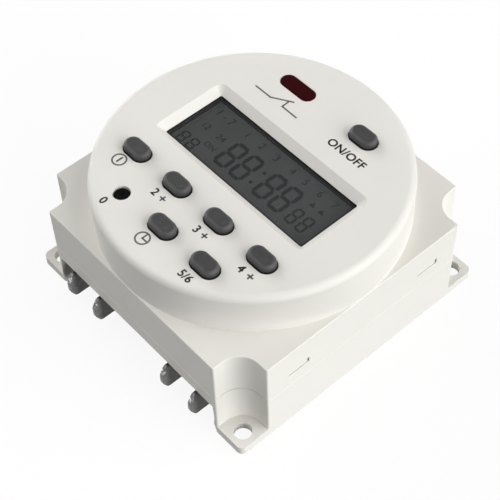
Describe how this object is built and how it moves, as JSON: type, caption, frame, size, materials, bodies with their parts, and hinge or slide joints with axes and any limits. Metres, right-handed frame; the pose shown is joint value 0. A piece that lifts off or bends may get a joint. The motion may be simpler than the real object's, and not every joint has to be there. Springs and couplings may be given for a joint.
{
  "type": "digital timer switch",
  "caption": "Square panel timer switch with a round face: display window, obround keys, reset hole, red indicator lens, screw ears and blade terminals, with boards, relay and cell inside.",
  "frame": {"origin": "centre of the flat back face, where the screw ears meet the panel", "axes": "+Z out of the face towards the user, +X in the reading direction of the display, +Y towards the top of the display; the blade terminals leave along -Y"},
  "size_m": [0.06, 0.062, 0.0324],
  "materials": {
    "housing": "matte",
    "window": "gloss",
    "seal": "matte",
    "display_glass": "gloss",
    "elastomer": "matte",
    "circuit_board": "satin",
    "chip": "gloss",
    "lens": "gloss",
    "diode": "gloss",
    "black_plastic": "matte",
    "plunger": "matte",
    "key": "matte",
    "blade": "satin",
    "steel": "satin",
    "brass": "satin",
    "copper": "satin",
    "bobbin": "matte",
    "relay_case": "satin",
    "capacitor_box": "satin",
    "capacitor_can": "satin",
    "resistor": "matte"
  },
  "bodies": {
    "housing": {"front_cover": "housing", "rear_base": "housing", "display_window": "window", "window_seal": "seal", "lcd_front_glass": "display_glass", "lcd_rear_glass": "display_glass", "contact_strips": "elastomer", "display_board": "circuit_board", "chip_blob": "chip", "quartz_crystal": "steel", "indicator_lens": "lens", "indicator_diode": "diode", "switch_housings": "black_plastic", "board_screws": "steel", "power_board": "circuit_board", "power_screws": "steel", "relay_case": "relay_case", "relay_base": "black_plastic", "relay_yoke": "steel", "relay_core": "steel", "relay_bobbin": "bobbin", "relay_winding": "copper", "relay_fixed_contact": "brass", "suppression_capacitor": "capacitor_box", "smoothing_capacitor": "capacitor_can", "rectifier_diodes": "black_plastic", "dropper_resistor": "resistor", "driver_transistor": "black_plastic", "backup_cell": "steel", "cell_tabs": "steel", "link_header": "black_plastic", "link_pins": "brass", "terminal_blade_1": "blade", "terminal_blade_2": "blade", "terminal_blade_3": "blade", "terminal_blade_4": "blade"},
    "program_button": {"program_key": "key", "program_plunger": "plunger"},
    "day_button": {"day_key": "key", "day_plunger": "plunger"},
    "hour_button": {"hour_key": "key", "hour_plunger": "plunger"},
    "minute_button": {"minute_key": "key", "minute_plunger": "plunger"},
    "clock_button": {"clock_key": "key", "clock_plunger": "plunger"},
    "recall_button": {"recall_key": "key", "recall_plunger": "plunger"},
    "manual_button": {"manual_key": "key", "manual_plunger": "plunger"},
    "reset_button": {"reset_plunger": "plunger"},
    "armature": {"relay_armature": "steel", "relay_contact_spring": "brass"}
  },
  "joints": [
    {"name": "program_press", "type": "slide", "parent": "housing", "child": "program_button", "axis": [0, 0, -1], "range_m": [0, 0.00035], "stiffness_N_per_m": 3000},
    {"name": "day_press", "type": "slide", "parent": "housing", "child": "day_button", "axis": [0, 0, -1], "range_m": [0, 0.00035], "stiffness_N_per_m": 3000},
    {"name": "hour_press", "type": "slide", "parent": "housing", "child": "hour_button", "axis": [0, 0, -1], "range_m": [0, 0.00035], "stiffness_N_per_m": 3000},
    {"name": "minute_press", "type": "slide", "parent": "housing", "child": "minute_button", "axis": [0, 0, -1], "range_m": [0, 0.00035], "stiffness_N_per_m": 3000},
    {"name": "clock_press", "type": "slide", "parent": "housing", "child": "clock_button", "axis": [0, 0, -1], "range_m": [0, 0.00035], "stiffness_N_per_m": 3000},
    {"name": "recall_press", "type": "slide", "parent": "housing", "child": "recall_button", "axis": [0, 0, -1], "range_m": [0, 0.00035], "stiffness_N_per_m": 3000},
    {"name": "manual_press", "type": "slide", "parent": "housing", "child": "manual_button", "axis": [0, 0, -1], "range_m": [0, 0.00035], "stiffness_N_per_m": 3000},
    {"name": "reset_press", "type": "slide", "parent": "housing", "child": "reset_button", "axis": [0, 0, -1], "range_m": [0, 0.00035], "stiffness_N_per_m": 3000},
    {"name": "armature_swing", "type": "hinge", "parent": "housing", "child": "armature", "pos_m": [0.0146, 0.011, 0.01695], "axis": [0, -1, 0], "range_deg": [0, 2.2], "stiffness_Nm_per_rad": 0.02, "springref_deg": -2.86}
  ]
}
